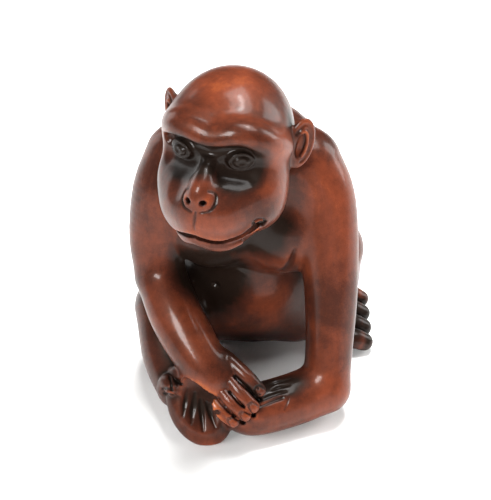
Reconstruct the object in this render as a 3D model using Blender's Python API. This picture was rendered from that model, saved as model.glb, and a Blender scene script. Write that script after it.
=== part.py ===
"""Netsuke of a seated monkey, carved from one block of boxwood.

Metres, +Z up, the monkey facing -Y. The figure stands on the flats worn on its
seat, feet and forearm, and its origin is at the middle of that underside.

The masses of the figure are balls and bones (round cones) that run into one
another. A geometry-nodes tree works out the distance to that blended surface,
and its zero level is the carved surface.
"""
import math

import bpy
from mathutils import Matrix, Vector

# Driving dimensions
HEIGHT = 0.0513         # underside to crown
CORD_BORE = 0.0034      # diameter of the cord channel in the back
CORD_BRIDGE = 0.0090    # between the centres of its two holes
CORD_HEIGHT = 0.0130    # of the middle of the two holes above the underside

# The pose, the masses and the carving are shares of the height. They are drawn
# in carving units, 51.3 of them from the underside to the crown.
UNIT = HEIGHT / 51.3
BLOCK = ((-18.5, -21.5, -1.5), (21.5, 19.0, 54.0))  # corners of the block of wood
GRAIN = 0.36            # step at which the block is searched for the surface
FACES = 9200            # triangles left on the finished surface

WOOD = {"colour": (0.20, 0.065, 0.032, 1.0), "roughness": 0.32}


# Nodes

def feed(group, sockets, values):
    """Set or link the inputs of a node."""
    for socket, value in zip(sockets, values):
        if isinstance(value, bpy.types.NodeSocket):
            group.links.new(value, socket)
        else:
            socket.default_value = value


def number(group, operation, *values, clamp=False):
    """A math node."""
    node = group.nodes.new("ShaderNodeMath")
    node.operation = operation
    node.use_clamp = clamp
    feed(group, node.inputs, values)
    return node.outputs[0]


def vector(group, operation, *values):
    """A vector math node that gives a vector."""
    node = group.nodes.new("ShaderNodeVectorMath")
    node.operation = operation
    feed(group, node.inputs, values)
    return node.outputs["Vector"]


def measure(group, operation, *values):
    """A vector math node that gives a number."""
    node = group.nodes.new("ShaderNodeVectorMath")
    node.operation = operation
    feed(group, node.inputs, values)
    return node.outputs["Value"]


def new_group(name, labels):
    """A node group with vector and number inputs and a distance output."""
    group = bpy.data.node_groups.new(name, "GeometryNodeTree")
    for label in labels:
        kind = "NodeSocketFloat" if label.endswith("radius") else "NodeSocketVector"
        group.interface.new_socket(label, in_out="INPUT", socket_type=kind)
    group.interface.new_socket("distance", in_out="OUTPUT", socket_type="NodeSocketFloat")
    return group, group.nodes.new("NodeGroupInput").outputs, group.nodes.new("NodeGroupOutput").inputs


def ball_group():
    """Distance to an ellipsoid with a centre, three axes and three radii."""
    group, given, result = new_group("ball", ("point", "centre", "across", "along", "up", "radii"))
    offset = vector(group, "SUBTRACT", given["point"], given["centre"])
    local = group.nodes.new("ShaderNodeCombineXYZ")
    for socket, axis in zip(local.inputs, ("across", "along", "up")):
        group.links.new(measure(group, "DOT_PRODUCT", offset, given[axis]), socket)
    share = vector(group, "DIVIDE", local.outputs[0], given["radii"])
    slope = measure(group, "LENGTH", vector(group, "DIVIDE", share, given["radii"]))
    reach = measure(group, "LENGTH", share)
    gap = number(group, "MULTIPLY", reach, number(group, "SUBTRACT", reach, 1.0))
    group.links.new(number(group, "DIVIDE", gap, number(group, "MAXIMUM", slope, 1e-6)), result["distance"])
    return group


def bone_group():
    """Distance to a round cone between two balls."""
    group, given, result = new_group("bone", ("point", "start", "end", "start radius", "end radius"))
    axis = vector(group, "SUBTRACT", given["end"], given["start"])
    offset = vector(group, "SUBTRACT", given["point"], given["start"])
    along = number(group, "DIVIDE", measure(group, "DOT_PRODUCT", offset, axis),
                   measure(group, "DOT_PRODUCT", axis, axis), clamp=True)
    scaled = group.nodes.new("ShaderNodeVectorMath")
    scaled.operation = "SCALE"
    group.links.new(axis, scaled.inputs["Vector"])
    group.links.new(along, scaled.inputs["Scale"])
    away = measure(group, "LENGTH", vector(group, "SUBTRACT", offset, scaled.outputs["Vector"]))
    taper = number(group, "SUBTRACT", given["end radius"], given["start radius"])
    radius = number(group, "MULTIPLY_ADD", along, taper, given["start radius"])
    group.links.new(number(group, "SUBTRACT", away, radius), result["distance"])
    return group


# Carving

def turned(yaw=0.0, pitch=0.0, roll=0.0):
    """A rotation in degrees: roll about Y, then pitch about X, then yaw about Z."""
    return (Matrix.Rotation(math.radians(yaw), 4, "Z")
            @ Matrix.Rotation(math.radians(pitch), 4, "X")
            @ Matrix.Rotation(math.radians(roll), 4, "Y"))


def smooth_path(points, radii, steps=4):
    """A Catmull-Rom curve through the points, the radii carried along with them."""
    rows = [(*point, radius) for point, radius in zip(points, radii)]
    if len(rows) < 3:
        return rows
    first = tuple(2 * b - a for a, b in zip(rows[1], rows[0]))
    last = tuple(2 * b - a for a, b in zip(rows[-2], rows[-1]))
    ends = [first] + rows + [last]
    curve = []
    for i in range(1, len(ends) - 2):
        for step in range(steps):
            t = step / steps
            row = []
            for a, b, c, d in zip(*ends[i - 1:i + 3]):
                bend = (2 * a - 5 * b + 4 * c - d) * t * t + (3 * b - a - 3 * c + d) * t ** 3
                row.append(0.5 * (2 * b + (c - a) * t + bend))
            curve.append(tuple(row))
    curve.append(rows[-1])
    return curve


class Carving:
    """Masses added to and cut from one another, each with its own softness."""

    def __init__(self, tree, point, groups):
        self.tree = tree
        self.point = point
        self.groups = groups
        self.surface = None

    def instance(self, kind, *values):
        node = self.tree.nodes.new("GeometryNodeGroup")
        node.node_tree = self.groups[kind]
        feed(self.tree, node.inputs, (self.point, *values))
        return node.outputs["distance"]

    def ball(self, centre, radii, place=Matrix.Identity(4), inner=Matrix.Identity(4)):
        axes = (place @ inner).to_3x3()
        return self.instance("ball", place @ Vector(centre), axes.col[0], axes.col[1], axes.col[2], radii)

    def limb(self, points, radii, place=Matrix.Identity(4)):
        if not isinstance(radii, (list, tuple)):
            radii = [radii] * len(points)
        curve = smooth_path(points, radii)
        distance = None
        for near, far in zip(curve[:-1], curve[1:]):
            bone = self.instance("bone", place @ Vector(near[:3]), place @ Vector(far[:3]), near[3], far[3])
            distance = bone if distance is None else number(self.tree, "MINIMUM", distance, bone)
        return distance

    def add(self, distance, soft):
        if self.surface is None:
            self.surface = distance
        else:
            self.surface = number(self.tree, "SMOOTH_MIN", self.surface, distance, soft)

    def cut(self, distance, soft):
        inverse = number(self.tree, "MULTIPLY", distance, -1.0)
        self.surface = number(self.tree, "SMOOTH_MAX", self.surface, inverse, soft)


# The masses

SIDES = (-1, 1)
HEAD = Matrix.Translation((-1.7, -4.0, 40.9)) @ turned(yaw=-20, pitch=-6, roll=-2)
SOLE = Matrix.Translation((-6.0, -14.5, 4.4)) @ turned(yaw=8, pitch=-38)
HAND = Matrix.Translation((-3.4, -15.6, 8.2)) @ turned(yaw=-7, pitch=-39, roll=-46)
EARS = tuple(HEAD @ Matrix.Translation((x, 2.0, z)) @ turned(yaw=side * 40, roll=side * 12)
             for side, x, z in ((-1, -9.3, 3.0), (1, 8.8, 1.6)))
LIPS = ((-6.0, -7.6, -6.2), (-4.6, -9.8, -7.0), (-2.6, -11.6, -7.1), (-0.9, -12.6, -6.5), (0.4, -12.4, -6.9),
        (1.7, -11.9, -7.4), (3.0, -11.0, -7.6), (4.4, -9.9, -7.4), (5.5, -8.9, -6.8), (6.2, -8.0, -6.1),
        (6.5, -7.4, -5.3))
MOUTH = ((-4.8, -9.2, -7.9), (-3.6, -11.0, -7.3), (-2.1, -12.4, -6.7), (-0.7, -13.0, -6.3), (0.4, -12.7, -6.7),
         (1.6, -12.2, -7.1), (2.8, -11.5, -7.3), (4.0, -10.7, -7.1), (5.1, -9.9, -6.7), (5.8, -9.3, -6.1),
         (6.4, -8.8, -5.6), (6.9, -8.3, -5.4), (7.0, -8.0, -6.0))
EYES = tuple(HEAD @ Matrix.Translation((x, -6.8, z)) @ turned(yaw=side * 28)
             for side, x, z in ((-1, -3.8, 3.1), (1, 3.55, 2.8)))
EYE = (2.0, 1.6, 1.45)
TOES = ((12.0, 1.9), (8.7, 1.7), (5.4, 1.6), (2.1, 1.5))


def carve_torso(wood):
    """Belly, chest, shoulders and haunches."""
    wood.add(wood.ball((0.8, 7.0, 12.0), (11.5, 9.0, 12.5)), 0.0)
    wood.add(wood.ball((0.5, 5.5, 26.5), (11.5, 8.6, 10.5)), 4.5)
    wood.add(wood.ball((0.5, 6.5, 35.0), (9.5, 7.5, 6.5)), 4.5)
    for side, height in zip(SIDES, (24.6, 23.6)):
        wood.add(wood.ball((0.5 + side * 5.2, -0.6, height), (5.6, 3.4, 5.6)), 1.8)
    for side in SIDES:
        wood.add(wood.ball((0.5 + side * 5.4, 10.4, 30.0), (4.2, 3.0, 5.6)), 3.0)
        wood.add(wood.ball((0.5 + side * 7.4, 9.0, 5.0), (7.0, 8.0, 6.4)), 3.6)
    wood.cut(wood.limb([(0.4, 16.4, 36.5), (0.6, 16.2, 28.0), (0.8, 16.9, 19.5)], [0.9, 1.1, 0.8]), 2.4)


def carve_legs(wood):
    """The right leg lies flat with its sole turned up, the left knee is raised."""
    wood.add(wood.limb([(-5.4, 8.6, 6.6), (-8.6, 4.6, 8.4), (-11.2, 0.8, 10.4)], [6.8, 6.2, 5.0]), 2.7)
    wood.add(wood.limb([(-11.6, -0.3, 10.4), (-11.0, -6.0, 6.4), (-9.6, -11.0, 4.6)], [4.8, 4.2, 3.4]), 1.5)
    wood.add(wood.ball((-0.6, 0.0, -0.4), (4.4, 2.4, 6.0), SOLE, turned(roll=-22)), 0.7)
    wood.cut(wood.ball((-0.6, -3.0, -0.4), (3.6, 1.5, 5.0), SOLE, turned(roll=-22)), 0.6)
    wood.add(wood.limb([(7.4, 9.6, 7.6), (10.4, 7.8, 13.0), (12.6, 6.0, 17.0)], [7.0, 6.2, 4.9]), 2.7)
    wood.add(wood.limb([(12.8, 5.8, 16.6), (13.2, 7.6, 9.0), (13.2, 7.6, 3.4)], [4.6, 4.2, 3.0]), 1.5)
    wood.add(wood.limb([(12.6, 9.0, 1.9), (14.0, 5.4, 1.7)], [3.0, 3.0]), 1.5)
    for y, z in TOES:
        toe = [(13.4, 0.8 * y + 1.3, z + 0.4), (16.4, y, z + 0.8), (18.3, y, z)]
        wood.add(wood.limb(toe, [1.6, 1.6, 1.4]), 0.3)
    wood.add(wood.limb([(-11.6, -12.4, 5.4), (-11.1, -12.9, 7.2), (-10.3, -14.4, 7.3)], [1.2, 1.25, 1.1]), 0.3)
    wood.add(wood.limb([(-10.9, -11.0, 6.6), (-9.9, -11.8, 8.1), (-9.2, -13.2, 8.1)], [0.9, 0.95, 0.85]), 0.3)
    wood.add(wood.ball((-8.9, -15.0, 7.5), (0.9, 0.9, 0.8)), 0.3)


def carve_left_arm(wood):
    """The arm that props the figure: down to the elbow, then across the front."""
    wood.add(wood.limb([(8.4, 3.6, 33.8), (11.0, 1.2, 28.4), (12.2, -4.0, 18.5), (12.0, -9.0, 8.6),
                        (11.4, -11.0, 4.6)], [5.1, 4.7, 3.9, 3.4, 3.8]), 2.2)
    wood.add(wood.limb([(11.4, -11.0, 4.4), (6.6, -12.9, 3.6), (1.4, -14.9, 3.6), (-0.9, -15.4, 3.8)],
                       [3.8, 3.8, 3.7, 2.9]), 0.9)


def carve_right_arm(wood):
    """The arm that lies over the knee, its hand on the other wrist."""
    wood.add(wood.limb([(-9.0, 3.5, 34.8), (-11.5, 2.0, 30.0), (-12.9, 0.5, 23.0), (-12.3, -1.5, 17.6)],
                       [5.1, 4.5, 3.8, 3.6]), 2.2)
    wood.add(wood.limb([(-12.3, -1.6, 17.6), (-9.8, -7.1, 14.4), (-6.5, -11.8, 10.9), (-4.5, -13.6, 9.2)],
                       [3.6, 3.8, 3.5, 3.0]), 1.2)
    wood.add(wood.ball((0.0, 0.6, 2.2), (4.6, 2.0, 4.2), HAND), 1.2)
    fingers = (([(3.5, 0.3, 2.2), (3.9, -0.2, -1.0), (4.0, 0.1, -3.6)], 1.1),
               ([(1.9, 0.2, 1.6), (1.8, -0.7, -2.0), (1.85, -0.5, -4.7)], 1.1),
               ([(0.0, 0.2, 1.6), (-0.05, -0.8, -2.0), (0.2, -0.6, -4.9)], 1.0),
               ([(-2.0, 0.2, 1.6), (-2.0, -0.6, -1.8), (-1.6, -0.4, -4.4)], 1.05),
               ([(-3.3, 0.8, 1.8), (-3.8, 0.3, -0.6), (-3.3, 0.3, -2.4)], 0.8))
    for path, radius in fingers:
        wood.add(wood.limb(path, [radius, radius, 0.85 * radius], HAND), 0.3)


def carve_head(wood):
    """Skull, muzzle and cheeks, then brow, eyes, nose, mouth and ears."""
    wood.add(wood.ball((-0.8, 1.4, 2.2), (8.3, 9.6, 8.4), HEAD), 0.0)
    wood.add(wood.ball((-0.1, -1.6, 2.2), (7.7, 6.4, 5.4), HEAD), 4.0)
    wood.add(wood.ball((-0.2, -2.4, -2.6), (8.5, 8.0, 7.0), HEAD), 2.2)
    wood.add(wood.ball((-0.2, -6.2, -3.8), (6.6, 6.6, 5.4), HEAD), 3.0)
    wood.add(wood.ball((-0.2, -8.6, -3.4), (4.2, 4.6, 4.4), HEAD), 3.0)
    for side in SIDES:
        wood.add(wood.ball((side * 5.0, -4.4, -2.6), (3.2, 4.0, 3.6), HEAD), 2.4)
    wood.add(wood.ball((4.6, -4.2, -5.0), (3.6, 4.2, 3.2), HEAD), 2.4)
    wood.add(wood.ball((-3.4, -6.6, -4.8), (3.6, 4.2, 3.2), HEAD), 2.4)
    wood.add(wood.limb([(-6.9, -1.6, 3.6), (-6.5, -3.9, 4.9), (-5.1, -5.9, 5.9), (-3.3, -6.9, 6.1),
                        (0.0, -7.4, 5.5), (3.3, -7.0, 6.0), (5.5, -5.9, 5.4), (6.9, -3.9, 3.9),
                        (7.4, -1.6, 2.6)], [1.0, 1.4, 1.8, 1.9, 1.8, 1.9, 1.8, 1.4, 1.0], HEAD), 3.2)
    wood.cut(wood.limb([(-6.6, -7.2, 1.7), (-3.7, -9.6, 2.6), (0.0, -11.0, 2.7), (3.6, -9.6, 2.4),
                        (5.3, -8.4, 1.6)], [1.4, 2.1, 1.4, 2.1, 1.4], HEAD), 2.2)
    wood.cut(wood.limb([(-6.6, -6.1, 3.3), (-5.3, -7.6, 4.1), (-3.2, -8.6, 4.3), (0.0, -9.4, 3.9),
                        (3.2, -8.6, 4.2), (4.6, -8.0, 4.0), (5.4, -7.6, 2.9), (5.6, -7.7, 1.6),
                        (5.4, -8.2, 0.4)], [1.05, 1.05, 1.05, 1.05, 1.05, 1.0, 0.9, 0.7, 0.3], HEAD), 0.15)
    for side in SIDES:
        wood.cut(wood.ball((side * 3.9, -9.1, 3.3), (2.3, 1.5, 1.8), HEAD, turned(yaw=side * 25, pitch=8)), 1.2)
    wood.add(wood.limb([(0.0, -8.9, 2.2), (0.0, -10.4, 1.2), (0.0, -11.6, 0.0), (-0.1, -12.0, -0.7)],
                       [0.7, 1.2, 1.5, 1.4], HEAD), 1.8)
    for x in (-1.25, 1.05):
        wood.add(wood.ball((x, -12.0, -1.2), (1.0, 0.95, 1.0), HEAD), 0.6)
    for eye in EYES:
        wood.add(wood.ball((0.0, 0.0, 0.0), EYE, eye), 0.4)
    wood.add(wood.ball((-0.1, -5.6, -7.6), (5.4, 5.4, 3.0), HEAD), 0.9)
    lip = [(x, y + 0.5, z + 0.8) for x, y, z in LIPS]
    wood.add(wood.limb(lip, 0.8, HEAD), 1.2)
    lip = [(x, y + 1.0, z - 0.9) for x, y, z in LIPS[1:-3]]
    wood.add(wood.limb(lip, [0.3, 0.6, 0.7, 0.7, 0.7, 0.6, 0.3], HEAD), 0.9)
    line = [0.3, 0.42, 0.5, 0.46, 0.44, 0.42, 0.4, 0.38, 0.36, 0.34, 0.34, 0.36, 0.3]
    wood.cut(wood.limb(MOUTH, line, HEAD), 0.15)
    for side, ear in zip(SIDES, EARS):
        wood.add(wood.ball((0.0, 0.0, 0.0), (1.9, 0.8, 3.6), ear), 1.2)
        wood.cut(wood.ball((side * 0.2, -0.9, 0.2), (1.2, 0.8, 2.7), ear), 0.4)


# The object

BACK = (0.8, 16.1)      # where the back is at the height of the cord channel


def new_carving_tree(material):
    """Geometry nodes that turn the masses into one closed surface."""
    groups = {"ball": ball_group(), "bone": bone_group()}
    tree = bpy.data.node_groups.new("carving", "GeometryNodeTree")
    tree.interface.new_socket("geometry", in_out="INPUT", socket_type="NodeSocketGeometry")
    tree.interface.new_socket("geometry", in_out="OUTPUT", socket_type="NodeSocketGeometry")
    point = tree.nodes.new("GeometryNodeInputPosition").outputs[0]

    body = Carving(tree, point, groups)
    for carve in (carve_torso, carve_legs, carve_left_arm, carve_right_arm):
        carve(body)
    head = Carving(tree, point, groups)
    carve_head(head)
    body.add(head.surface, 0.9)

    block = tree.nodes.new("GeometryNodeVolumeCube")
    density = number(tree, "MULTIPLY", body.surface, -1.0)
    steps = [round((high - low) / GRAIN) for low, high in zip(*BLOCK)]
    feed(tree, block.inputs, (density, -1.0, BLOCK[0], BLOCK[1], *steps))
    surface = tree.nodes.new("GeometryNodeVolumeToMesh")
    tree.links.new(block.outputs[0], surface.inputs["Volume"])
    surface.inputs["Threshold"].default_value = 0.0
    sized = tree.nodes.new("GeometryNodeTransform")
    tree.links.new(surface.outputs[0], sized.inputs["Geometry"])
    sized.inputs["Scale"].default_value = (UNIT, UNIT, UNIT)
    shade = tree.nodes.new("GeometryNodeSetShadeSmooth")
    tree.links.new(sized.outputs[0], shade.inputs["Geometry"])
    stain = tree.nodes.new("GeometryNodeSetMaterial")
    tree.links.new(shade.outputs[0], stain.inputs["Geometry"])
    stain.inputs["Material"].default_value = material
    result = tree.nodes.new("NodeGroupOutput")
    tree.links.new(stain.outputs[0], result.inputs[0])
    return tree


def new_cutter(collection, name):
    """Hide the primitive just added and keep it among the cutters."""
    cutter = bpy.context.object
    cutter.name = name
    cutter.hide_render = True
    cutter.display_type = "WIRE"
    for owner in list(cutter.users_collection):
        owner.objects.unlink(cutter)
    collection.objects.link(cutter)
    return cutter


def new_channel(collection):
    """The round channel for the cord: it dips into the back and comes out again."""
    bpy.ops.mesh.primitive_torus_add(major_segments=28, minor_segments=14, major_radius=CORD_BRIDGE / 2,
                                     minor_radius=CORD_BORE / 2, rotation=(0.0, math.radians(90.0), 0.0),
                                     location=(BACK[0] * UNIT, BACK[1] * UNIT, CORD_HEIGHT))
    return new_cutter(collection, "cord_channel")


def new_table(collection):
    """A block whose top is the plane that the underside is flattened on."""
    bpy.ops.mesh.primitive_cube_add(size=1.0, location=(0.0, 0.0, -3.0 * UNIT),
                                    scale=(90.0 * UNIT, 90.0 * UNIT, 6.0 * UNIT))
    return new_cutter(collection, "table")


def evaluated_mesh(obj):
    """The object's mesh as its modifiers leave it."""
    bpy.context.view_layer.update()
    return obj.evaluated_get(bpy.context.evaluated_depsgraph_get()).data


def add_decimate(obj, triangles):
    """Fewer and larger triangles, kept where the surface turns."""
    now = sum(len(face.vertices) - 2 for face in evaluated_mesh(obj).polygons)
    decimate = obj.modifiers.new("planes", "DECIMATE")
    decimate.ratio = min(1.0, triangles / now)


def add_cut(obj, cutter):
    """Take away what lies inside the cutter."""
    cut = obj.modifiers.new(cutter.name, "BOOLEAN")
    cut.operation = "DIFFERENCE"
    cut.solver = "EXACT"
    cut.object = cutter


def new_material(name, look):
    """Stained and polished wood."""
    material = bpy.data.materials.new(name)
    material.use_nodes = True
    shader = material.node_tree.nodes["Principled BSDF"]
    shader.inputs["Base Color"].default_value = look["colour"]
    shader.inputs["Roughness"].default_value = look["roughness"]
    shader.inputs["Metallic"].default_value = 0.0
    return material


def new_collection(name):
    """A collection in the scene."""
    collection = bpy.data.collections.new(name)
    bpy.context.scene.collection.children.link(collection)
    return collection


def main():
    for obj in list(bpy.data.objects):
        bpy.data.objects.remove(obj)
    parts = new_collection("monkey_netsuke")
    cutters = new_collection("cutters")

    monkey = bpy.data.objects.new("carved_monkey", bpy.data.meshes.new("carved_monkey"))
    parts.objects.link(monkey)
    wood = new_material("stained_boxwood", WOOD)
    monkey.data.materials.append(wood)
    monkey.modifiers.new("carving", "NODES").node_group = new_carving_tree(wood)
    add_decimate(monkey, FACES)
    add_cut(monkey, new_table(cutters))
    add_cut(monkey, new_channel(cutters))

    # The origin goes to the middle of the underside's bounding box.
    points = [vertex.co for vertex in evaluated_mesh(monkey).vertices]
    middle = [0.5 * (min(p[i] for p in points) + max(p[i] for p in points)) for i in range(2)]
    stand = bpy.data.objects.new("stand", None)
    parts.objects.link(stand)
    stand.location = (-middle[0], -middle[1], 0.0)
    for obj in [monkey, *cutters.objects]:
        obj.parent = stand


main()
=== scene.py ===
import math

import bpy
import numpy as np
import openvdb
from mathutils import Matrix, Vector


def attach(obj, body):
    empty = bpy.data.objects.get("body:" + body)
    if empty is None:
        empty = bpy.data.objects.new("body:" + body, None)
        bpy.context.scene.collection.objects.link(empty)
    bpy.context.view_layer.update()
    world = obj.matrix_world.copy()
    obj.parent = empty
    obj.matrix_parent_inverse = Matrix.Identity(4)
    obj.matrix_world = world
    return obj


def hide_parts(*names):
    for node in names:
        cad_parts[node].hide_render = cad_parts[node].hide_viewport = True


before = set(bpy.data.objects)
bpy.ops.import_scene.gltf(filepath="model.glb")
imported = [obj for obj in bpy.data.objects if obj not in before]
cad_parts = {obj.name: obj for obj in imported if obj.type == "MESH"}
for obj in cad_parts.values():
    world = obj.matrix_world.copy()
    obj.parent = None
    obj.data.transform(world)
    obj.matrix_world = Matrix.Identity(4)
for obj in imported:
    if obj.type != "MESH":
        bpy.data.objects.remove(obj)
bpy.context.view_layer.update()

# A netsuke of a seated monkey, carved from one block of boxwood. It is drawn in millimetres and
# faces -Y. STAND moves it to its place in the frame, and MM turns it into metres.
MM = 0.001
STAND = Vector((-1.504, 1.273, 0.0))

BLOCK = ((-18.5, -21.5, -1.5), (21.5, 19.0, 54.0))          # corners of the block of wood
HEAD_BLOCK = ((-16.5, -20.0, 27.0), (15.0, 12.0, 53.5))     # and of the part that the head is cut from
STEP = 0.15      # step of the grid that the carving is worked out on
OPEN_AIR = 6.0          # the distance that stands for anything far from the wood
ADD_ROOM = 1.0          # how far round an added shape the grid is worked out, past the soft join
CUT_ROOM = 0.6          # and round a cut
FEELER = 0.05           # step at which the surface is felt for along a line
TRIANGLES = 196000      # left on the finished surface

CORD_BORE = 3.4         # diameter of the cord channel in the back
CORD_BRIDGE = 9.0       # between the centres of its two holes
CORD_HEIGHT = 13.0      # of the middle of the two holes above the floor
BACK = (0.8, 16.1)      # X and Y of the back there


# Distances to shapes

def turned(yaw=0.0, pitch=0.0, roll=0.0):
    """A rotation in degrees: roll about Y, then pitch about X, then yaw about Z."""
    return (Matrix.Rotation(math.radians(yaw), 4, "Z")
            @ Matrix.Rotation(math.radians(pitch), 4, "X")
            @ Matrix.Rotation(math.radians(roll), 4, "Y"))


def smooth_path(points, radii, steps=8):
    """A Catmull-Rom curve through the points, the radii carried along with them."""
    rows = np.array([(*point, radius) for point, radius in zip(points, radii)], float)
    if len(rows) < 3:
        return rows
    ends = np.vstack([2 * rows[0] - rows[1], rows, 2 * rows[-1] - rows[-2]])
    curve = []
    for a, b, c, d in zip(ends[:-3], ends[1:-2], ends[2:-1], ends[3:]):
        for t in np.arange(steps) / steps:
            bend = (2 * a - 5 * b + 4 * c - d) * t * t + (3 * b - a - 3 * c + d) * t ** 3
            curve.append(0.5 * (2 * b + (c - a) * t + bend))
    curve.append(rows[-1])
    return np.array(curve)


def smooth_min(one, two, soft):
    """The lower of two distances, rounded where they come near each other."""
    if soft <= 0:
        return np.minimum(one, two)
    near = np.maximum(soft - np.abs(one - two), 0) / soft
    return np.minimum(one, two) - near ** 3 * (soft / 6)


class Ball:
    """Distance to an ellipsoid."""

    def __init__(self, centre, radii, axes):
        self.centre, self.radii, self.axes = np.array(centre), np.array(radii, float), np.array(axes)
        reach = np.sqrt(((self.axes * self.radii) ** 2).sum(axis=1))
        self.low, self.high = self.centre - reach, self.centre + reach

    def __call__(self, x, y, z):
        offset = (x - self.centre[0], y - self.centre[1], z - self.centre[2])
        reach = slope = 0.0
        for axis, radius in zip(self.axes.T, self.radii):
            share = (offset[0] * axis[0] + offset[1] * axis[1] + offset[2] * axis[2]) / radius
            reach = reach + share ** 2
            slope = slope + (share / radius) ** 2
        reach = np.sqrt(reach)
        return (reach * (reach - 1.0) / np.maximum(np.sqrt(slope), 1e-6)).astype(np.float32)


class Limb:
    """Distance to a chain of round cones along a smooth curve."""

    def __init__(self, curve):
        self.curve = curve
        self.low = (curve[:, :3] - curve[:, 3:]).min(axis=0)
        self.high = (curve[:, :3] + curve[:, 3:]).max(axis=0)

    def __call__(self, x, y, z):
        best = None
        for near, far in zip(self.curve[:-1], self.curve[1:]):
            axis = far[:3] - near[:3]
            offset = (x - near[0], y - near[1], z - near[2])
            along = (offset[0] * axis[0] + offset[1] * axis[1] + offset[2] * axis[2]) / max(axis @ axis, 1e-9)
            along = np.clip(along, 0.0, 1.0)
            away = np.sqrt(sum((o - along * a) ** 2 for o, a in zip(offset, axis)))
            distance = away - (near[3] + along * (far[3] - near[3]))
            best = distance if best is None else np.minimum(best, distance)
        return best.astype(np.float32)


def ball(centre, radii, place=Matrix.Identity(4), inner=Matrix.Identity(4)):
    """An ellipsoid at a point of its place, turned by the place and then by its own rotation."""
    return Ball(place @ Vector(centre), radii, (place @ inner).to_3x3())


def limb(points, radii, place=Matrix.Identity(4)):
    """A round limb or groove through points of its place, with one radius or one for each point."""
    radii = radii if isinstance(radii, (list, tuple)) else [radii] * len(points)
    return Limb(smooth_path([place @ Vector(point) for point in points], radii))


# The wood

class Carving:
    """A block of wood as a grid of distances to the carved surface."""

    def __init__(self, low, high, step):
        self.low, self.step = np.array(low, float), step
        self.count = np.ceil((np.array(high, float) - self.low) / step).astype(int) + 1
        self.field = np.full(self.count, OPEN_AIR, np.float32)

    def window(self, shape, margin):
        """The part of the grid round a shape, and the coordinates of its points."""
        low = np.clip(np.floor((shape.low - margin - self.low) / self.step).astype(int), 0, self.count)
        high = np.clip(np.ceil((shape.high + margin - self.low) / self.step).astype(int) + 1, 0, self.count)
        ways = [(self.low[i] + self.step * np.arange(low[i], high[i])).astype(np.float32) for i in range(3)]
        return tuple(slice(a, b) for a, b in zip(low, high)), np.ix_(*ways)

    def add(self, shape, soft):
        """Wood that runs into what is there over a soft join."""
        where, ways = self.window(shape, soft + ADD_ROOM)
        self.field[where] = smooth_min(self.field[where], shape(*ways), soft)

    def cut(self, shape, soft):
        """Wood taken away, with a soft edge to the cut."""
        where, ways = self.window(shape, soft + CUT_ROOM)
        self.field[where] = -smooth_min(-self.field[where], shape(*ways), soft)

    def join(self, other, soft):
        """Another carving on the same grid, which runs into this one."""
        start = np.round((other.low - self.low) / self.step).astype(int)
        where = tuple(slice(a, a + n) for a, n in zip(start, other.count))
        self.field[where] = smooth_min(self.field[where], other.field, soft)


def sample(wood, points):
    """The distance to the surface at each point, read from the grid."""
    places = np.clip((points - wood.low) / wood.step, 0.0, wood.count - 1.001)
    cell = places.astype(int)
    share = (places - cell).astype(np.float32)
    found = np.zeros(len(points), np.float32)
    for corner in np.ndindex(2, 2, 2):
        weight = np.prod(np.where(corner, share, 1 - share), axis=1)
        found += weight * wood.field[tuple((cell + corner).T)]
    return found


def on_skin(wood, place, marks, sink, reach):
    """Each mark (x, z) taken along the Y of its place onto the surface, or sunk below it."""
    depths = np.arange(-reach, reach, FEELER)
    found = []
    for x, z in marks:
        ray = np.array([tuple(place @ Vector((x, y, z))) for y in depths])
        found.append((x, float(depths[np.argmax(sample(wood, ray) < 0.0)]) + sink, z))
    return found


def score(wood, place, marks, radii, soft=0.1, sink=0.0, reach=6.0):
    """A line cut into the surface through the marks."""
    wood.cut(limb(on_skin(wood, place, marks, sink, reach), radii, place), soft)


def ring(middle, width, height, start=0, stop=360, count=16):
    """Points of an oval in the X-Z plane, from one angle to another."""
    turns = np.radians(np.linspace(start, stop, count + 1))
    return [(middle[0] + width * math.cos(a), middle[1], middle[2] + height * math.sin(a)) for a in turns]


# Places on the figure, whose own right side is at -X

SIDES = (-1, 1)
HEAD = Matrix.Translation((-1.7, -4.0, 40.9)) @ turned(yaw=-20, pitch=-6, roll=-2)
FACE = 16.0             # how far in front of the head's middle a line on the face is looked for
EARS = tuple(HEAD @ Matrix.Translation((x, 2.0, z)) @ turned(yaw=side * 40, roll=side * 12)
             for side, x, z in ((-1, -9.3, 3.0), (1, 8.8, 1.6)))
EYES = tuple(HEAD @ Matrix.Translation((x, -6.8, z)) @ turned(yaw=side * 28)
             for side, x, z in ((-1, -3.8, 3.1), (1, 3.55, 2.8)))
EYE = (2.0, 1.6, 1.45)  # radii of an eyeball
LIPS = ((-6.0, -7.6, -6.2), (-4.6, -9.8, -7.0), (-2.6, -11.6, -7.1), (-0.9, -12.6, -6.5),
        (0.4, -12.4, -6.9), (1.7, -11.9, -7.4), (3.0, -11.0, -7.6), (4.4, -9.9, -7.4),
        (5.5, -8.9, -6.8), (6.2, -8.0, -6.1), (6.5, -7.4, -5.3))
MOUTH = ((-4.8, -9.2, -7.9), (-3.6, -11.0, -7.3), (-2.1, -12.4, -6.7), (-0.7, -13.0, -6.3),
         (0.4, -12.7, -6.7), (1.6, -12.2, -7.1), (2.8, -11.5, -7.3), (4.0, -10.7, -7.1),
         (5.1, -9.9, -6.7), (5.8, -9.3, -6.1), (6.4, -8.8, -5.6), (6.9, -8.3, -5.4), (7.0, -8.0, -6.0))
HAND = Matrix.Translation((-3.4, -15.6, 8.2)) @ turned(yaw=-7, pitch=-39, roll=-46)
FOREARM = Matrix.Translation((0.0, -15.0, 5.0)) @ turned(yaw=22, pitch=-50)
SOLE = Matrix.Translation((-6.0, -14.5, 4.4)) @ turned(yaw=8, pitch=-38)
SOLE_TILT = turned(roll=-22)
RIGHT_TOES = Matrix.Translation((-10.6, -13.8, 7.3)) @ turned(pitch=-38)
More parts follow.
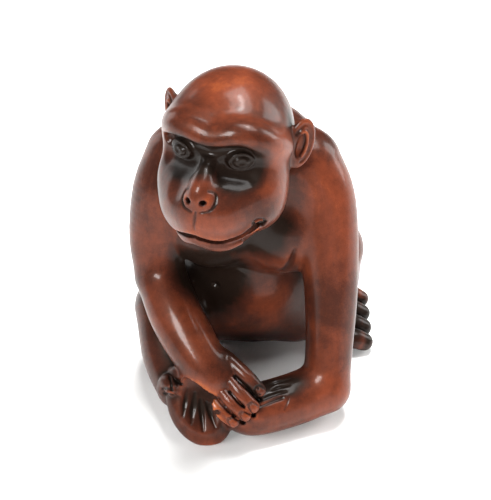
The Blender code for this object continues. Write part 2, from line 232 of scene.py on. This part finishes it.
LEFT_TOES = ((12.0, 1.9), (8.7, 1.7), (5.4, 1.6), (2.1, 1.5))   # Y and height of each


# The trunk, legs and arms

def carve_torso(wood):
    """Belly, chest and shoulders, breasts, shoulder blades and haunches, and the line of the spine."""
    wood.add(ball((0.8, 7.0, 12.0), (11.5, 9.0, 12.5)), 0.0)
    wood.add(ball((0.5, 5.5, 26.5), (11.5, 8.6, 10.5)), 4.5)
    wood.add(ball((0.5, 6.5, 35.0), (9.5, 7.5, 6.5)), 4.5)
    for side, height in zip(SIDES, (24.6, 23.6)):
        wood.add(ball((0.5 + side * 5.2, -0.6, height), (5.6, 3.4, 5.6)), 1.8)
    for side in SIDES:
        wood.add(ball((0.5 + side * 5.4, 10.4, 30.0), (4.2, 3.0, 5.6)), 3.0)
        wood.add(ball((0.5 + side * 7.4, 9.0, 5.0), (7.0, 8.0, 6.4)), 3.6)
    spine = [(0.4, 16.4, 36.5), (0.6, 16.2, 28.0), (0.8, 16.9, 19.5)]
    wood.cut(limb(spine, [0.9, 1.1, 0.8]), 2.4)


def carve_right_leg(wood):
    """The leg that lies flat, its sole turned up, with what shows of the curled toes."""
    wood.add(limb([(-5.4, 8.6, 6.6), (-8.6, 4.6, 8.4), (-11.2, 0.8, 10.4)], [6.8, 6.2, 5.0]), 2.7)
    wood.add(limb([(-11.6, -0.3, 10.4), (-11.0, -6.0, 6.4), (-9.6, -11.0, 4.6)], [4.8, 4.2, 3.4]), 1.5)
    wood.add(ball((-0.6, 0.0, -0.4), (4.4, 2.4, 6.0), SOLE, SOLE_TILT), 0.7)
    wood.cut(ball((-0.6, -3.0, -0.4), (3.6, 1.5, 5.0), SOLE, SOLE_TILT), 0.6)
    wood.add(limb([(-11.6, -12.4, 5.4), (-11.1, -12.9, 7.2), (-10.3, -14.4, 7.3)], [1.2, 1.25, 1.1]), 0.3)
    wood.add(limb([(-10.9, -11.0, 6.6), (-9.9, -11.8, 8.1), (-9.2, -13.2, 8.1)], [0.9, 0.95, 0.85]), 0.3)
    wood.add(ball((-8.9, -15.0, 7.5), (0.9, 0.9, 0.8)), 0.3)


def carve_left_leg(wood):
    """The leg with the raised knee, and four toes."""
    wood.add(limb([(7.4, 9.6, 7.6), (10.4, 7.8, 13.0), (12.6, 6.0, 17.0)], [7.0, 6.2, 4.9]), 2.7)
    wood.add(limb([(12.8, 5.8, 16.6), (13.2, 7.6, 9.0), (13.2, 7.6, 3.4)], [4.6, 4.2, 3.0]), 1.5)
    wood.add(limb([(12.6, 9.0, 1.9), (14.0, 5.4, 1.7)], 3.0), 1.5)
    for y, z in LEFT_TOES:
        toe = [(13.4, 0.8 * y + 1.3, z + 0.4), (16.4, y, z + 0.8), (18.3, y, z)]
        wood.add(limb(toe, [1.6, 1.6, 1.4]), 0.3)


def carve_left_arm(wood):
    """The arm that props the figure: down to the elbow, then across the front."""
    upper = [(8.4, 3.6, 33.8), (11.0, 1.2, 28.4), (12.2, -4.0, 18.5), (12.0, -9.0, 8.6), (11.4, -11.0, 4.6)]
    wood.add(limb(upper, [5.1, 4.7, 3.9, 3.4, 3.8]), 2.2)
    lower = [(11.4, -11.0, 4.4), (6.6, -12.9, 3.6), (1.4, -14.9, 3.6), (-0.9, -15.4, 3.8)]
    wood.add(limb(lower, [3.8, 3.8, 3.7, 2.9]), 0.9)


def carve_right_arm(wood):
    """The arm that lies over the knee, its hand on the other wrist."""
    upper = [(-9.0, 3.5, 34.8), (-11.5, 2.0, 30.0), (-12.9, 0.5, 23.0), (-12.3, -1.5, 17.6)]
    wood.add(limb(upper, [5.1, 4.5, 3.8, 3.6]), 2.2)
    lower = [(-12.3, -1.6, 17.6), (-9.8, -7.1, 14.4), (-6.5, -11.8, 10.9), (-4.5, -13.6, 9.2)]
    wood.add(limb(lower, [3.6, 3.8, 3.5, 3.0]), 1.2)
    wood.add(ball((0.0, 0.6, 2.2), (4.6, 2.0, 4.2), HAND), 1.2)
    fingers = (([(3.5, 0.3, 2.2), (3.9, -0.2, -1.0), (4.0, 0.1, -3.6)], 1.1),
               ([(1.9, 0.2, 1.6), (1.8, -0.7, -2.0), (1.85, -0.5, -4.7)], 1.1),
               ([(0.0, 0.2, 1.6), (-0.05, -0.8, -2.0), (0.2, -0.6, -4.9)], 1.0),
               ([(-2.0, 0.2, 1.6), (-2.0, -0.6, -1.8), (-1.6, -0.4, -4.4)], 1.05),
               ([(-3.3, 0.8, 1.8), (-3.8, 0.3, -0.6), (-3.3, 0.3, -2.4)], 0.8))
    for path, radius in fingers:
        wood.add(limb(path, [radius, radius, 0.85 * radius], HAND), 0.3)


# The relief on the trunk, legs and arms

def carve_belly(wood):
    """The fold under the chest and the navel."""
    fold = [(-4.2, -2.2, 20.2), (-3.4, -2.2, 19.4), (-2.4, -1.9, 19.0), (-0.9, -1.6, 18.9),
            (1.1, -1.7, 18.2), (3.0, -1.9, 17.6), (4.8, -2.6, 18.6), (6.2, -3.6, 21.0), (7.0, -4.0, 24.0)]
    wood.cut(limb(fold, [0.1, 0.3, 0.4, 0.35, 0.4, 0.45, 0.4, 0.35, 0.1]), 0.8)
    wood.cut(ball((-4.5, -1.0, 15.2), (0.6, 0.7, 0.4)), 0.5)


def carve_forearm(wood):
    """The streaks along the top of the left forearm, and a scratch."""
    for across in (0.0, 0.8, 1.6, 2.4):
        streak = [(1.0, 1.2 - across), (4.2, 1.5 - across), (7.0 - across, 1.4 - across)]
        score(wood, FOREARM, streak, [0.1, 0.24, 0.1], soft=0.3)
    score(wood, FOREARM, [(4.4, -2.6), (5.0, -1.9), (5.5, -1.1)], [0.08, 0.14, 0.08])


def carve_sole(wood):
    """The rim of the upturned sole and the creases that fan out over it."""
    wood.cut(ball((-0.6, -3.1, -0.4), (3.7, 1.7, 5.1), SOLE, SOLE_TILT), 0.15)
    for top, foot in (((-2.2, 2.6), (-3.2, -1.2)), ((-1.2, 1.8), (-2.1, -2.4)), ((-0.5, 0.8), (-0.5, -3.6)),
                      ((0.3, 0.3), (1.2, -3.2)), ((0.8, 0.0), (2.4, -1.8))):
        middle = [0.5 * (a + b) for a, b in zip(top, foot)]
        score(wood, SOLE, [top, middle, foot], [0.1, 0.3, 0.16], soft=0.4, sink=-0.06)


def carve_toes(wood):
    """The creases between the curled toes of the right foot, and the nails of the left."""
    for marks in (((-1.3, -0.6), (-0.6, -0.3), (0.3, -0.5)), ((-1.0, -1.3), (-0.3, -1.1), (0.4, -1.3)),
                  ((-0.2, 1.4), (0.1, 0.4), (0.2, -0.5)), ((0.6, 0.9), (1.1, 0.7), (1.6, 0.3))):
        score(wood, RIGHT_TOES, marks, 0.2)
    for y, _ in LEFT_TOES:
        wood.cut(limb([(17.6, y - 1.2, 1.6), (17.8, y, 2.9), (17.6, y + 1.2, 1.6)], 0.17), 0.12)


def carve_fingers(wood):
    """The gaps between the fingers, a short one beside the little finger, and the nails."""
    for gap in (((2.7, 0.0), (2.85, -2.2), (2.95, -4.5)), ((0.85, -1.1), (0.9, -3.3), (1.05, -5.6)),
                ((-1.05, -1.3), (-1.0, -3.3), (-0.75, -5.4))):
        score(wood, HAND, gap, [0.36, 0.38, 0.4], sink=0.3)
    wood.cut(limb([(-2.95, -1.2, -0.2), (-2.95, -1.1, -1.4)], [0.22, 0.16], HAND), 0.15)
    for x, z, half in ((4.0, -3.4, 0.8), (1.85, -4.5, 0.75), (0.18, -4.6, 0.7), (-1.65, -4.1, 0.75)):
        nail = [(x - half, z - 0.6), (x - 0.7 * half, z + 0.2), (x, z + 0.4), (x + 0.7 * half, z + 0.2),
                (x + half, z - 0.6)]
        score(wood, HAND, nail, 0.19, sink=-0.02)


def carve_cord_channel(wood):
    """The curved channel in the back that the cord runs through."""
    x, y = BACK
    reach = 0.5 * CORD_BRIDGE
    turns = np.radians(np.linspace(-90, 90, 13))
    bend = [(x, y - reach * math.cos(a), CORD_HEIGHT + reach * math.sin(a)) for a in turns]
    path = [(x, y + 3.0, CORD_HEIGHT - reach), *bend, (x, y + 3.0, CORD_HEIGHT + reach)]
    wood.cut(limb(path, 0.5 * CORD_BORE), 0.3)


# The masses of the head

def carve_skull(wood):
    """Crown, forehead, face and muzzle, then the cheeks and jowls."""
    wood.add(ball((-0.8, 1.4, 2.2), (8.3, 9.6, 8.4), HEAD), 0.0)
    wood.add(ball((-0.1, -1.6, 2.2), (7.7, 6.4, 5.4), HEAD), 4.0)
    wood.add(ball((-0.2, -2.4, -2.6), (8.5, 8.0, 7.0), HEAD), 2.2)
    wood.add(ball((-0.2, -6.2, -3.8), (6.6, 6.6, 5.4), HEAD), 3.0)
    wood.add(ball((-0.2, -8.6, -3.4), (4.2, 4.6, 4.4), HEAD), 3.0)
    for side in SIDES:
        wood.add(ball((side * 5.0, -4.4, -2.6), (3.2, 4.0, 3.6), HEAD), 2.4)
    wood.add(ball((4.6, -4.2, -5.0), (3.6, 4.2, 3.2), HEAD), 2.4)
    wood.add(ball((-3.4, -6.6, -4.8), (3.6, 4.2, 3.2), HEAD), 2.4)


def carve_brow(wood):
    """The ridge of the brow, the hollow under it with its sharp edge, and the sockets of the eyes."""
    ridge = [(-6.9, -1.6, 3.6), (-6.5, -3.9, 4.9), (-5.1, -5.9, 5.9), (-3.3, -6.9, 6.1), (0.0, -7.4, 5.5),
             (3.3, -7.0, 6.0), (5.5, -5.9, 5.4), (6.9, -3.9, 3.9), (7.4, -1.6, 2.6)]
    wood.add(limb(ridge, [1.0, 1.4, 1.8, 1.9, 1.8, 1.9, 1.8, 1.4, 1.0], HEAD), 3.2)
    hollow = [(-6.6, -7.2, 1.7), (-3.7, -9.6, 2.6), (0.0, -11.0, 2.7), (3.6, -9.6, 2.4), (5.3, -8.4, 1.6)]
    wood.cut(limb(hollow, [1.4, 2.1, 1.4, 2.1, 1.4], HEAD), 2.2)
    edge = [(-6.6, -6.1, 3.3), (-5.3, -7.6, 4.1), (-3.2, -8.6, 4.3), (0.0, -9.4, 3.9), (3.2, -8.6, 4.2),
            (4.6, -8.0, 4.0), (5.4, -7.6, 2.9), (5.6, -7.7, 1.6), (5.4, -8.2, 0.4)]
    wood.cut(limb(edge, [1.05, 1.05, 1.05, 1.05, 1.05, 1.0, 0.9, 0.7, 0.3], HEAD), 0.15)
    for side in SIDES:
        wood.cut(ball((side * 3.9, -9.1, 3.3), (2.3, 1.5, 1.8), HEAD, turned(yaw=side * 25, pitch=8)), 1.2)


def carve_nose(wood):
    """The bridge and the two sides of the tip."""
    bridge = [(0.0, -8.9, 2.2), (0.0, -10.4, 1.2), (0.0, -11.6, 0.0), (-0.1, -12.0, -0.7)]
    wood.add(limb(bridge, [0.7, 1.2, 1.5, 1.4], HEAD), 1.8)
    for x in (-1.25, 1.05):
        wood.add(ball((x, -12.0, -1.2), (1.0, 0.95, 1.0), HEAD), 0.6)


def carve_eyeballs(wood):
    """The balls of the eyes, in their sockets."""
    for eye in EYES:
        wood.add(ball((0.0, 0.0, 0.0), EYE, eye), 0.4)


def carve_jaw(wood):
    """Chin, upper lip, lower lip and the line between them."""
    wood.add(ball((-0.1, -5.6, -7.6), (5.4, 5.4, 3.0), HEAD), 0.9)
    upper = [(x, y + 0.5, z + 0.8) for x, y, z in LIPS]
    wood.add(limb(upper, 0.8, HEAD), 1.2)
    lower = [(x, y + 1.0, z - 0.9) for x, y, z in LIPS[1:-3]]
    wood.add(limb(lower, [0.3, 0.6, 0.7, 0.7, 0.7, 0.6, 0.3], HEAD), 0.9)
    line = [0.3, 0.42, 0.5, 0.46, 0.44, 0.42, 0.4, 0.38, 0.36, 0.34, 0.34, 0.36, 0.3]
    wood.cut(limb(MOUTH, line, HEAD), 0.15)


def carve_ears(wood):
    """The upright blade of each ear, dished in front."""
    for side, ear in zip(SIDES, EARS):
        wood.add(ball((0.0, 0.0, 0.0), (1.9, 0.8, 3.6), ear), 1.2)
        wood.cut(ball((side * 0.2, -0.9, 0.2), (1.2, 0.8, 2.7), ear), 0.4)


# The relief on the head

def lid(width, height, point=1.3, count=20):
    """Points of an almond laid on the ball of the eye."""
    found = []
    for a in np.radians(np.linspace(0, 360, count + 1)):
        x, z = width * math.cos(a), height * math.copysign(abs(math.sin(a)) ** point, math.sin(a))
        found.append((x, -EYE[1] * math.sqrt(max(1 - (x / EYE[0]) ** 2 - (z / EYE[2]) ** 2, 0.04)), z))
    return found


def carve_lids(wood):
    """The lids as a raised rim with a groove inside it, and the iris as a shallow dish."""
    for eye, width in zip(EYES, (1.75, 1.6)):
        wood.add(limb(lid(width, 1.1), 0.16, eye), 0.12)
        wood.cut(limb(lid(width - 0.3, 0.85), 0.17, eye), 0.08)
        wood.cut(ball((0.0, -EYE[1] - 0.35, 0.0), (0.75, 0.6, 0.62), eye), 0.05)


def carve_under_eyes(wood):
    """The slope from each eye down to the cheek."""
    for side in SIDES:
        wood.cut(ball((side * 4.1, -13.8, 2.2), (2.6, 4.5, 4.5), HEAD), 1.6)


def carve_nostrils(wood):
    """The nostrils, the wings round them and the line down to the lip."""
    for side, x in zip(SIDES, (-1.1, 0.8)):
        wood.cut(ball((x, -13.0, -1.0), (0.42, 0.8, 0.34), HEAD), 0.2)
        wing = [(side * 1.3, 0.3), (side * 1.95, -0.3), (side * 2.2, -1.2), (side * 1.7, -2.0),
                (side * 0.6, -2.3)]
        score(wood, HEAD, wing, [0.12, 0.18, 0.22, 0.2, 0.14], reach=FACE)
    groove = [(-0.05, -2.3), (-0.15, -3.2), (-0.3, -4.2), (-0.4, -5.2)]
    score(wood, HEAD, groove, [0.14, 0.2, 0.17, 0.1], reach=FACE)


def carve_mouth(wood):
    """The line of the mouth, deeper, and the small ring at its corner."""
    line = [0.3, 0.42, 0.5, 0.46, 0.42, 0.4, 0.4, 0.4, 0.4, 0.4, 0.38, 0.34, 0.3]
    score(wood, HEAD, [(x, z) for x, _, z in MOUTH], line, sink=0.1, reach=FACE)
    corner = ring((6.7, 0.0, -5.2), 0.6, 0.55)
    score(wood, HEAD, [(x, z) for x, _, z in corner], 0.17, reach=FACE)


def carve_ear_folds(wood):
    """The rim, the fold inside it and the hollow of each ear."""
    for side, ear in zip(SIDES, EARS):
        rim = ring((0.0, -0.55, 0.1), side * 1.25, 2.75, -70, 150, 14)
        wood.cut(limb(rim, 0.26, ear), 0.2)
        fold = ring((side * -0.1, -0.45, 0.0), side * 0.75, 1.9, -60, 120, 10)
        wood.add(limb(fold, 0.24, ear), 0.2)
        wood.cut(ball((side * -0.35, -0.75, -0.7), (0.5, 0.8, 1.2), ear), 0.3)


# The figure

def carve_body(step):
    """Everything but the head."""
    body = Carving(*BLOCK, step)
    for carve in (carve_torso, carve_right_leg, carve_left_leg, carve_left_arm, carve_right_arm, carve_belly,
                  carve_forearm, carve_sole, carve_toes, carve_fingers, carve_cord_channel):
        carve(body)
    return body


def carve_head(body):
    """The head, on the same grid as the body."""
    low, high = HEAD_BLOCK
    low = body.low + np.floor((np.array(low) - body.low) / body.step) * body.step
    head = Carving(low, high, body.step)
    for carve in (carve_skull, carve_brow, carve_nose, carve_eyeballs, carve_jaw, carve_ears, carve_lids,
                  carve_under_eyes, carve_nostrils, carve_mouth, carve_ear_folds):
        carve(head)
    return head


def carve_monkey(step):
    """The whole figure on a grid of the given step, cut off flat at the floor."""
    monkey = carve_body(step)
    monkey.join(carve_head(monkey), 0.9)
    heights = monkey.low[2] + step * np.arange(monkey.count[2])
    monkey.field = np.maximum(monkey.field, -heights.astype(np.float32)[None, None, :])
    return monkey


def new_mesh(name, points, faces):
    """An object made of the points and faces."""
    mesh = bpy.data.meshes.new(name)
    mesh.from_pydata(points, [], faces)
    made = bpy.data.objects.new(name, mesh)
    bpy.context.scene.collection.objects.link(made)
    return made


def reduce_faces(made, share):
    """Leaves that share of an object's triangles."""
    modifier = made.modifiers.new("fewer_faces", "DECIMATE")
    modifier.ratio = share
    evaluated = made.evaluated_get(bpy.context.evaluated_depsgraph_get())
    fine = made.data
    made.data = bpy.data.meshes.new_from_object(evaluated)
    made.modifiers.clear()
    bpy.data.meshes.remove(fine)
    made.data.name = made.name


def new_figure(wood):
    """The surface of the carving as one smooth closed mesh, in metres, where the frame stands."""
    grid = openvdb.FloatGrid(OPEN_AIR)
    grid.copyFromArray(np.clip(wood.field, -OPEN_AIR, OPEN_AIR))
    points, triangles, quads = grid.convertToPolygons(0.0, 0.0)
    points = (points * wood.step + wood.low + np.array(STAND)) * MM
    made = new_mesh("monkey_carving", points.tolist(), quads.tolist() + triangles.tolist())
    count = len(quads) * 2 + len(triangles)
    if count > TRIANGLES:
        reduce_faces(made, TRIANGLES / count)
    made.data.shade_smooth()
    return made


# Wear, stain, and painted light and shade

def in_head(point):
    """A point given in the head's own place."""
    return tuple(HEAD @ Vector(point))


# Soft round places, each with its centre, radii and strength
# Warm places lighten the wood: wear on raised parts, with painted light on the belly and left cheek and a
# painted highlight at the right wrist
WARM = ((in_head((0.0, -1.0, 10.5)), (8.0, 8.0, 5.0), 0.8),             # crown
        (in_head((0.6, -12.0, -4.5)), (5.5, 5.0, 3.6), 1.0),            # muzzle
        (in_head((8.0, -4.0, 0.0)), (4.0, 5.0, 7.0), 0.8),              # left cheek, with painted light on its lit side
        ((11.5, -2.0, 27.0), (7.0, 8.0, 13.0), 0.8),                    # left arm
        ((5.5, -2.5, 11.0), (6.0, 5.0, 6.0), 0.5),                      # belly, painted light on its lit side
        ((-13.0, -2.0, 24.0), (6.0, 6.0, 10.0), 0.4),                   # right arm
        ((-9.0, -9.0, 15.0), (6.0, 6.0, 6.0), 0.7),                     # right forearm
        ((-6.5, -12.0, 13.0), (4.0, 4.0, 4.0), 0.8),                    # right wrist, a painted highlight along the right forearm
        ((12.0, -13.0, 5.0), (6.0, 5.0, 6.0), 0.7))                     # left elbow
# Dark places darken the wood: stain round the eyes, darker feet, and painted shade on the left forearm,
# trunk, chest, foot of the belly and right knee
DARK = ((in_head((-3.9, -8.6, 2.6)), (4.6, 4.4, 3.4), 0.9),             # round the right eye
        (in_head((4.2, -8.2, 2.2)), (4.6, 4.4, 3.8), 0.9),              # round the left eye
        (in_head((0.0, -9.8, 3.2)), (4.0, 3.4, 2.6), 0.8),              # between the eyes
        ((4.0, -14.0, 8.6), (6.5, 4.0, 2.8), 1.0),                      # painted shade on the top of the left forearm
        ((-5.5, -2.0, 17.5), (7.5, 7.0, 11.0), 0.8),                    # painted shade on the trunk behind the right forearm
        ((0.0, -4.0, 27.0), (9.0, 7.0, 6.0), 0.7),                      # painted shadow of the head under the chin
        ((1.0, -3.0, 3.0), (9.0, 5.0, 4.0), 0.6),                       # painted shade at the foot of the belly
        ((-9.0, -2.0, 9.0), (4.0, 7.0, 7.0), 0.7),                      # painted shade inside the right knee
        ((18.0, 5.0, 4.0), (5.0, 9.0, 8.0), 0.75),                      # left foot
        ((-11.0, -13.5, 7.0), (3.0, 4.0, 3.0), 0.3),                    # right toes
        (SOLE @ Vector((-0.8, -1.4, 0.8)), (3.6, 4.0, 4.0), 0.3))       # right sole


def add_share(mesh, name, values):
    """A number between 0 and 1 on every point of the mesh, for the material."""
    attribute = mesh.attributes.new(name, "FLOAT", "POINT")
    attribute.data.foreach_set("value", np.clip(values, 0.0, 1.0).astype(np.float32))


def near_places(points, places, fade=1.3):
    """How near each point is to the nearest of some soft round places: 1 in the middle, 0 outside."""
    found = np.zeros(len(points))
    for centre, radii, strength in places:
        away = (((points - np.array(centre)) / np.array(radii)) ** 2).sum(axis=1)
        found = np.maximum(found, strength * np.clip(1.0 - away, 0.0, 1.0) ** fade)
    return found


def add_wear_and_painted_light(made, wood):
    """Hollows darkened partly by stain gathered there and partly by painted shade, edges lightened partly by
    rubbing and partly by painted highlights, warm places of wear and painted light, and dark places of stain
    and painted shade.
    """
    mesh = made.data
    points = np.empty(len(mesh.vertices) * 3, np.float32)
    normals = np.empty(len(mesh.vertices) * 3, np.float32)
    mesh.vertices.foreach_get("co", points)
    mesh.vertex_normals.foreach_get("vector", normals)
    points = points.reshape(-1, 3) / MM - np.array(STAND)
    normals = normals.reshape(-1, 3)
    # hollow: how shut in each point is, felt out to 4 mm; it darkens the wood partly as stain gathered in the
    # hollows and partly as painted shade
    hollow = np.zeros(len(points))
    for reach, weight in ((0.4, 0.35), (0.8, 0.3), (1.6, 0.2), (4.0, 0.15)):
        hollow += weight * np.clip(1.0 - sample(wood, points + normals * reach) / reach, 0.0, 1.0)
    # edge: how sharp and raised each point is; it lightens the wood partly as rubbed wear and partly as
    # painted highlights along edges
    edge = np.zeros(len(points))
    for reach, weight in ((0.4, 0.4), (0.8, 0.35), (1.6, 0.25)):
        edge += weight * np.clip(1.0 + sample(wood, points - normals * reach) / reach, 0.0, 1.0)
    add_share(mesh, "hollow", hollow)
    add_share(mesh, "edge", edge)
    add_share(mesh, "warm", near_places(points, WARM))
    add_share(mesh, "dark", near_places(points, DARK))


# Materials

GRAIN_STRETCH = 6.25    # length of the grain against its width

# Colours of the wood, from where the stain and painted shade lie thick to where it is worn through or carries
# painted light
WOOD_TONES = ((0.0, (0.006, 0.003, 0.002)), (0.2, (0.035, 0.009, 0.005)), (0.4, (0.11, 0.024, 0.010)),
         (0.6, (0.25, 0.060, 0.016)), (0.8, (0.43, 0.15, 0.055)), (1.0, (0.62, 0.34, 0.21)))
PAPER = ((0.4, (0.88, 0.88, 0.87)), (0.6, (0.92, 0.92, 0.91)))


class Nodes:
    """Adds nodes to a material, each with its settings and what feeds it."""

    def __init__(self, material):
        material.use_nodes = True
        self.tree = material.node_tree
        self.tree.nodes.clear()

    def add(self, kind, inputs=(), **settings):
        """A node whose inputs are each given a value or a link."""
        made = self.tree.nodes.new("ShaderNode" + kind)
        for name, value in settings.items():
            setattr(made, name, value)
        for key, value in dict(inputs).items():
            if isinstance(value, bpy.types.NodeSocket):
                self.tree.links.new(value, made.inputs[key])
            else:
                made.inputs[key].default_value = value
        return made

    def math(self, operation, *values, clamp=False):
        """A number worked out from others."""
        return self.add("Math", enumerate(values), operation=operation, use_clamp=clamp).outputs[0]

    def share(self, name):
        """One of the numbers that lie on the points of the mesh."""
        return self.add("Attribute", attribute_name=name).outputs["Fac"]

    def noise(self, vector, scale, detail=4.0, rough=0.5, bend=0.0):
        """A soft random pattern."""
        return self.add("TexNoise", {"Vector": vector, "Scale": scale, "Detail": detail, "Roughness": rough,
                                     "Distortion": bend}).outputs["Fac"]

    def ramp(self, value, stops):
        """A colour read between the stops."""
        made = self.add("ValToRGB", {"Fac": value})
        band = made.color_ramp
        while len(band.elements) < len(stops):
            band.elements.new(0.5)
        for element, (place, colour) in zip(band.elements, stops):
            element.position = place
            element.color = (*colour, 1.0)
        return made.outputs["Color"]


def new_wood():
    """Boxwood stained dark reddish brown: grain and mottling; stain and painted shade in the hollows; worn
    edges with painted highlights; warm places of wear and painted light; dark places of stain and painted
    shade.
    """
    material = bpy.data.materials.new("stained_boxwood")
    nodes = Nodes(material)
    place = nodes.add("TexCoord").outputs["Object"]
    size = nodes.add("Mapping", {"Vector": place, "Scale": (1 / MM, 1 / MM, 1 / MM)}).outputs["Vector"]
    along = nodes.add("Mapping", {"Vector": place, "Rotation": (0.25, 0.15, 0.0),
                                  "Scale": (1 / MM, 1 / MM, 1 / MM / GRAIN_STRETCH)}).outputs["Vector"]
    patches = nodes.noise(size, 0.16, 5.0, 0.6, 0.6)
    mottle = nodes.noise(size, 0.9, 6.0, 0.65)
    grain = nodes.noise(along, 1.5, 6.0, 0.6, 0.4)
    pores = nodes.noise(size, 6.0, 3.0, 0.7)
    tone = nodes.math("MULTIPLY_ADD", patches, 0.44, -0.21)
    # The hollow share darkens the tone as stain and as painted shade; the edge and warm shares lighten it as
    # wear and as painted light
    for share, weight in ((mottle, 0.16), (grain, 0.12), (pores, 0.17), (nodes.share("warm"), 0.2),
                          (nodes.share("edge"), 0.36), (nodes.share("hollow"), -0.5)):
        tone = nodes.math("MULTIPLY_ADD", share, weight, tone)
    # The dark share darkens it as stain round the eyes and as painted shade on the trunk, arms and knee
    tone = nodes.math("MULTIPLY_ADD", nodes.share("dark"), -0.6, tone, clamp=True)
    rough = nodes.math("MULTIPLY_ADD", mottle, 0.2, 0.28)
    rough = nodes.math("MULTIPLY_ADD", nodes.share("hollow"), 0.25, rough)
    rough = nodes.math("MULTIPLY_ADD", nodes.share("dark"), 0.3, rough, clamp=True)
    height = nodes.math("MULTIPLY_ADD", grain, 0.5, nodes.math("MULTIPLY", pores, 0.35))
    bump = nodes.add("Bump", {"Strength": 0.22, "Distance": 0.00022, "Height": height})
    surface = nodes.add("BsdfPrincipled", {"Base Color": nodes.ramp(tone, WOOD_TONES), "Roughness": rough,
                                           "IOR": 1.5, "Specular IOR Level": 0.10,
                                           "Specular Tint": (1.0, 0.8, 0.66, 1.0),
                                           "Coat Weight": 0.22, "Coat Roughness": 0.15,
                                           "Normal": bump.outputs["Normal"]})
    nodes.add("OutputMaterial", {"Surface": surface.outputs["BSDF"]})
    return material


def new_paper():
    """White paper, very slightly uneven in tone."""
    material = bpy.data.materials.new("white_paper")
    nodes = Nodes(material)
    place = nodes.add("TexCoord").outputs["Object"]
    tone = nodes.math("MULTIPLY_ADD", nodes.noise(place, 40.0), 0.02, 0.5)
    surface = nodes.add("BsdfPrincipled", {"Base Color": nodes.ramp(tone, PAPER), "Roughness": 0.7})
    nodes.add("OutputMaterial", {"Surface": surface.outputs["BSDF"]})
    return material


# Camera, floor and lights, the last two in metres

VIEW_ANGLE = math.radians(38)           # of the camera above the horizon
VIEW_POINT = Vector((0.0, -2.0, 21.5))  # what it looks at
VIEW_AWAY = 190.0                       # and from how far
FLOOR = 4.0                             # half the side of the floor
AIM = (0.0, 0.0, 0.022)                 # what the lights point at


def add_camera():
    """The photograph's view: from the front and above."""
    data = bpy.data.cameras.new("camera")
    data.lens = 95.76
    data.sensor_width = 36.0
    data.shift_y = 0.012
    data.clip_start, data.clip_end = 0.01, 50.0
    made = bpy.data.objects.new("camera", data)
    back = Vector((0.0, -math.cos(VIEW_ANGLE), math.sin(VIEW_ANGLE)))
    made.location = (VIEW_POINT + VIEW_AWAY * back + STAND) * MM
    made.rotation_mode = "QUATERNION"
    made.rotation_quaternion = (-back).to_track_quat("-Z", "Y")
    bpy.context.scene.collection.objects.link(made)
    bpy.context.scene.camera = made


def add_floor():
    """A plain pale floor."""
    corners = [(-FLOOR, -FLOOR, 0.0), (FLOOR, -FLOOR, 0.0), (FLOOR, FLOOR, 0.0), (-FLOOR, FLOOR, 0.0)]
    floor = new_mesh("floor", corners, [(0, 1, 2, 3)])
    floor.data.materials.append(new_paper())


def add_light(name, place, size, power, sheen=True, fill=True):
    """A rectangular light that points at the figure and may count as sheen or as fill light only."""
    data = bpy.data.lights.new(name, "AREA")
    data.shape = "RECTANGLE"
    data.size, data.size_y = size
    data.energy = power
    made = bpy.data.objects.new(name, data)
    made.location = place
    made.visible_glossy = sheen
    made.visible_diffuse = fill
    made.rotation_mode = "QUATERNION"
    made.rotation_quaternion = (Vector(AIM) - Vector(place)).to_track_quat("-Z", "Y")
    bpy.context.scene.collection.objects.link(made)


def add_lights():
    """Soft light from above, low fill from the front, and a strip on each side."""
    world = bpy.data.worlds.new("white_room")
    world.use_nodes = True
    world.node_tree.nodes["Background"].inputs["Color"].default_value = (1.0, 1.0, 0.99, 1.0)
    world.node_tree.nodes["Background"].inputs["Strength"].default_value = 0.055
    bpy.context.scene.world = world
    add_light("top_softbox", (0.03, 0.10, 0.36), (0.14, 0.08), 3.4, sheen=False)
    add_light("top_sheen", (0.11, 0.07, 0.36), (0.26, 0.17), 1.6, fill=False)
    add_light("top_glint", (0.10, 0.08, 0.34), (0.07, 0.03), 0.3, fill=False)
    add_light("top_left_sheen", (-0.14, -0.21, 0.27), (0.10, 0.16), 1.8, fill=False)
    add_light("low_front_fill", (0.02, -0.42, 0.08), (0.40, 0.12), 1.9, sheen=False)
    add_light("low_right_fill", (0.24, -0.35, 0.065), (0.30, 0.08), 1.4, sheen=False)
    add_light("left_fill", (-0.34, -0.14, 0.20), (0.24, 0.20), 1.2, sheen=False)
    add_light("right_strip", (0.33, 0.14, 0.15), (0.16, 0.24), 1.2)
    add_light("left_strip", (-0.30, 0.24, 0.10), (0.20, 0.26), 0.6)


wood = carve_monkey(STEP)
monkey = new_figure(wood)
add_wear_and_painted_light(monkey, wood)
monkey.data.materials.append(new_wood())
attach(monkey, "root")
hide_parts("carved_monkey")
add_camera()
add_floor()
add_lights()
bpy.context.scene.view_settings.view_transform = "Standard"
